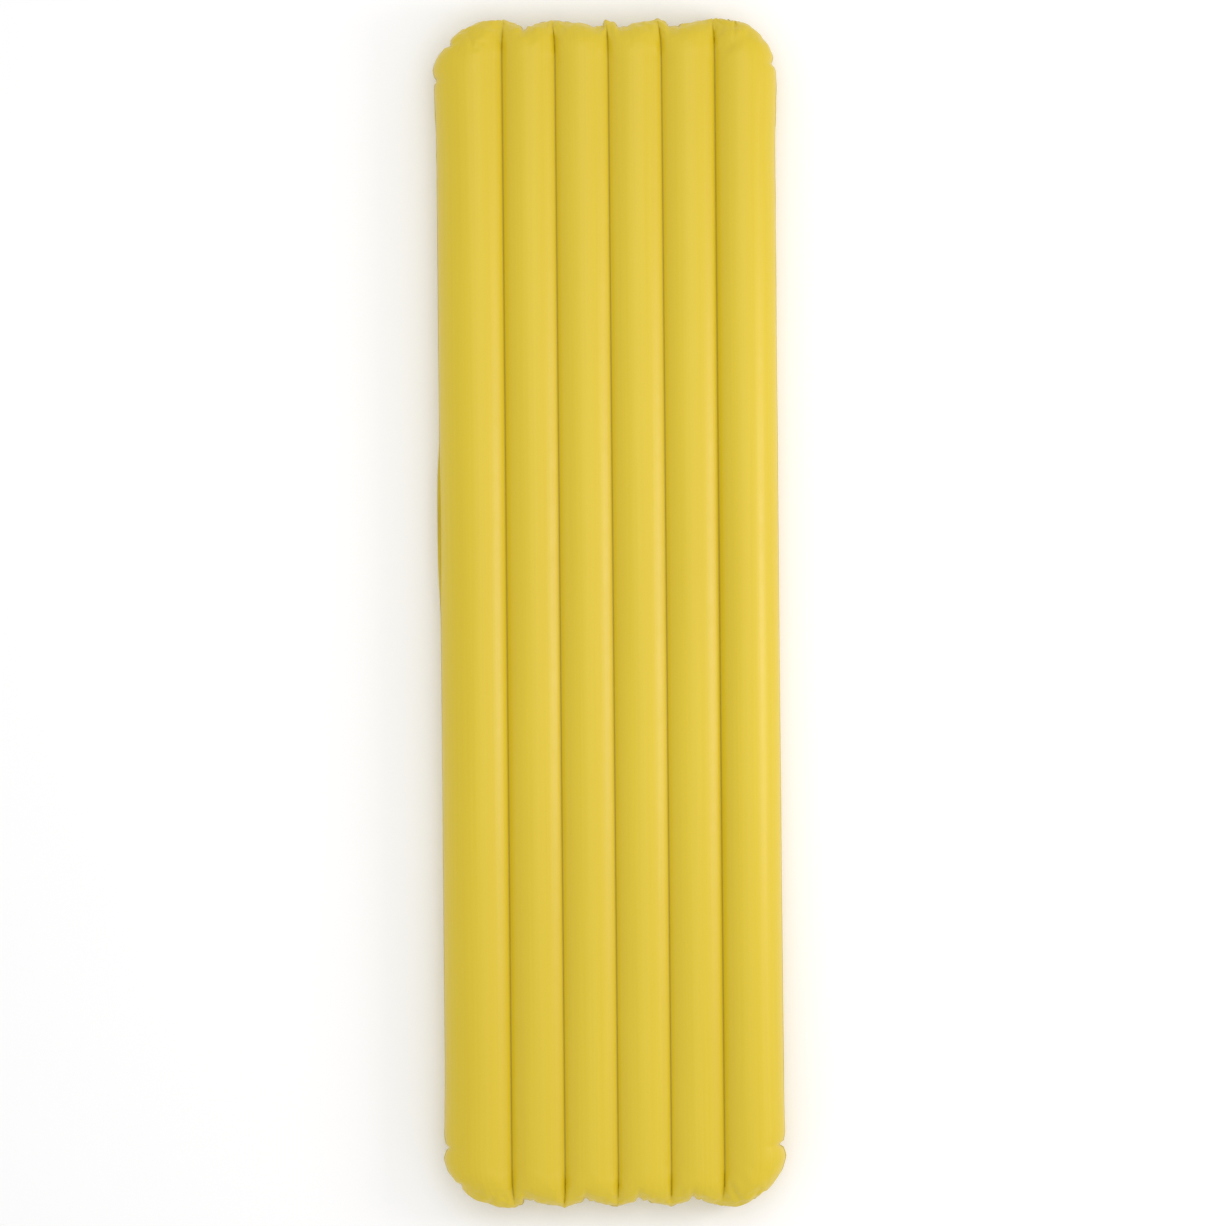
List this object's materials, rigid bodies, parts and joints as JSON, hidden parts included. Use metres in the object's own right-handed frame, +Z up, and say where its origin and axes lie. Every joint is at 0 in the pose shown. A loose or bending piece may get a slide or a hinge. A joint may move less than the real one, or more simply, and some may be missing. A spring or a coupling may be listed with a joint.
{
  "type": "inflatable sleeping mat",
  "caption": "Long inflated sleeping mat with lengthwise air tubes, a welded rim, puckered ends, inner baffles and two lidded valves under the head end.",
  "frame": {"origin": "centre of the mat's footprint, on the floor under the two outer tubes", "axes": "+Z up out of the lying mat's upper side, +Y along the mat to its head end, +X to the right seen from above with the head up"},
  "size_m": [0.535, 1.83, 0.0947],
  "materials": {
    "mat_fabric": "fine coated plain-weave taffeta, satin",
    "baffle_fabric": "plain coated fabric",
    "valve_soft": "soft moulded thermoplastic, matte",
    "valve_hard": "hard moulded insert, fine texture",
    "valve_lid": "moulded lid, satin",
    "seal_rubber": "smooth",
    "flap_silicone": "milky silicone"
  },
  "bodies": {
    "mat": {"top_skin": "mat_fabric", "bottom_skin": "mat_fabric", "baffle_1": "baffle_fabric", "baffle_2": "baffle_fabric", "baffle_3": "baffle_fabric", "baffle_4": "baffle_fabric", "baffle_5": "baffle_fabric", "inflation_collar": "valve_soft", "inflation_seat": "valve_hard", "inflation_strap": "valve_soft", "inflation_grille": "valve_hard", "deflation_collar": "valve_soft", "deflation_seat": "valve_hard", "deflation_strap": "valve_soft"},
    "inflation_cap": {"inflation_lid": "valve_lid", "inflation_seal": "seal_rubber"},
    "deflation_cap": {"deflation_lid": "valve_lid", "deflation_seal": "seal_rubber"},
    "flap": {"inflation_flap": "flap_silicone"}
  },
  "joints": [
    {"name": "inflation_lid_hinge", "type": "hinge", "parent": "mat", "child": "inflation_cap", "pos_m": [-0.1394, 0.7475, 0.0064], "axis": [0, 1, 0], "range_deg": [0, 130]},
    {"name": "deflation_lid_hinge", "type": "hinge", "parent": "mat", "child": "deflation_cap", "pos_m": [0.1054, 0.7475, 0.0064], "axis": [0, 1, 0], "range_deg": [0, 130]},
    {"name": "inflation_flap_hinge", "type": "hinge", "parent": "mat", "child": "flap", "pos_m": [-0.1032, 0.7475, 0.0172], "axis": [0, 1, 0], "range_deg": [0, 40], "stiffness_Nm_per_rad": 0.0004, "springref_deg": -5.73}
  ]
}
